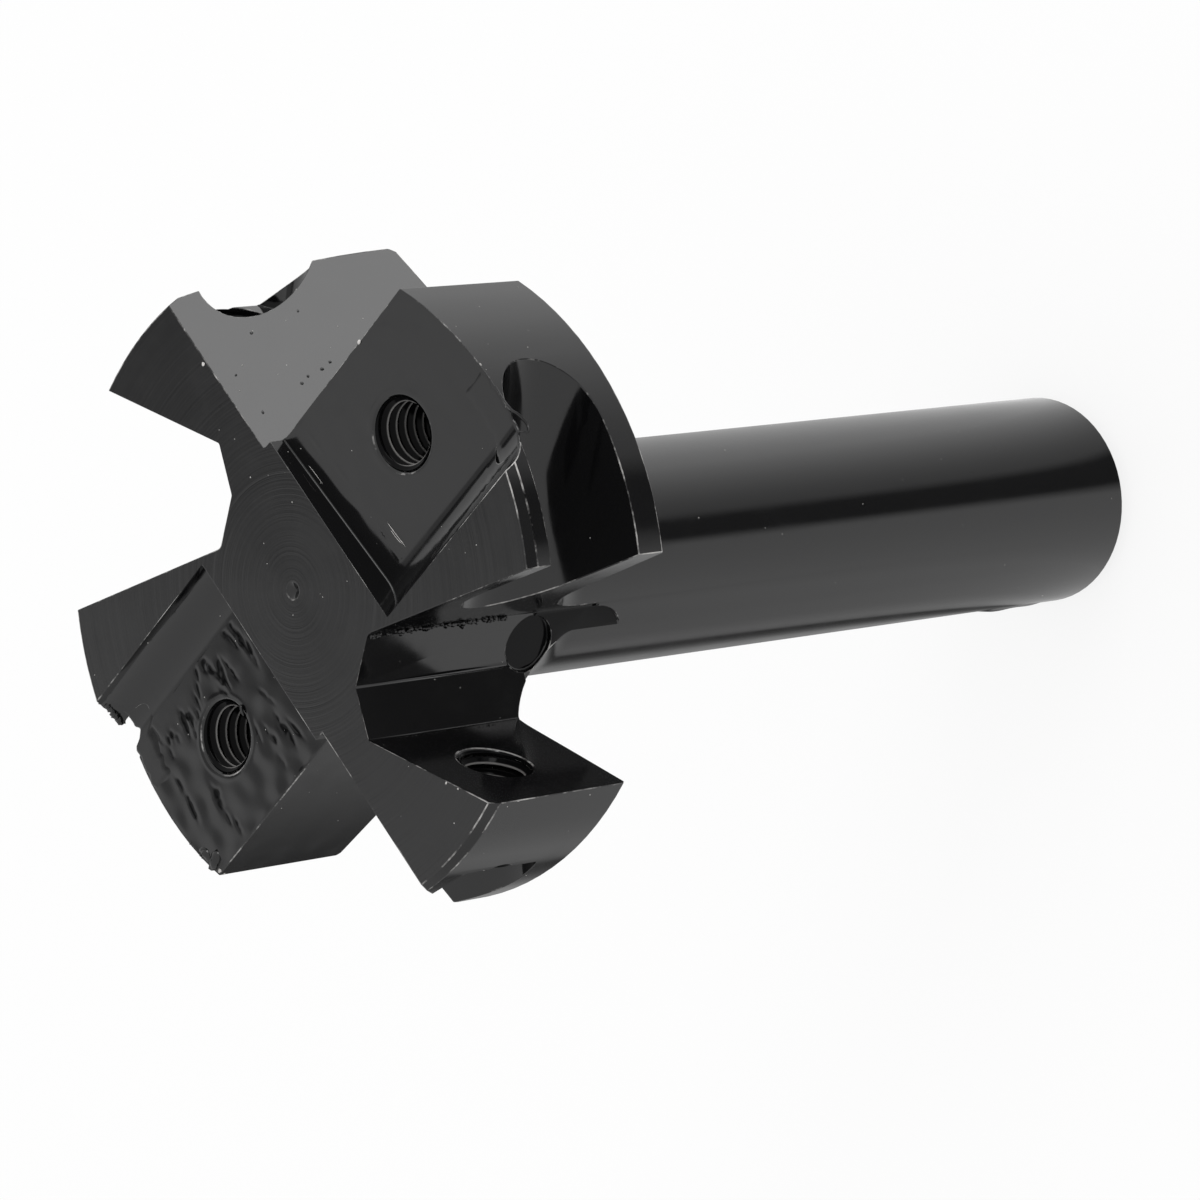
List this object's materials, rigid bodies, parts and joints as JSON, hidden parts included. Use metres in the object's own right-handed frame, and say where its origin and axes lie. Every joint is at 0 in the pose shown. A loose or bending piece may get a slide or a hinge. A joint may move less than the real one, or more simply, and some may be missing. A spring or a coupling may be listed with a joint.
{
  "type": "surfacing router bit body",
  "caption": "Router cutter body for levelling wide boards: straight round shank, wide head with upright and sunken flat insert seats, tapped screw holes and chip gullets.",
  "frame": {"origin": "centre of the shank's flat end", "axes": "+Z along the tool's axis from the shank to the cutting face; +Y square to the upright seats, which look along +Y and -Y"},
  "size_m": [0.0342, 0.0358, 0.065],
  "materials": {
    "black_coated_steel": "gloss"
  },
  "bodies": {
    "root": {"cutter_body": "black_coated_steel"}
  },
  "joints": []
}
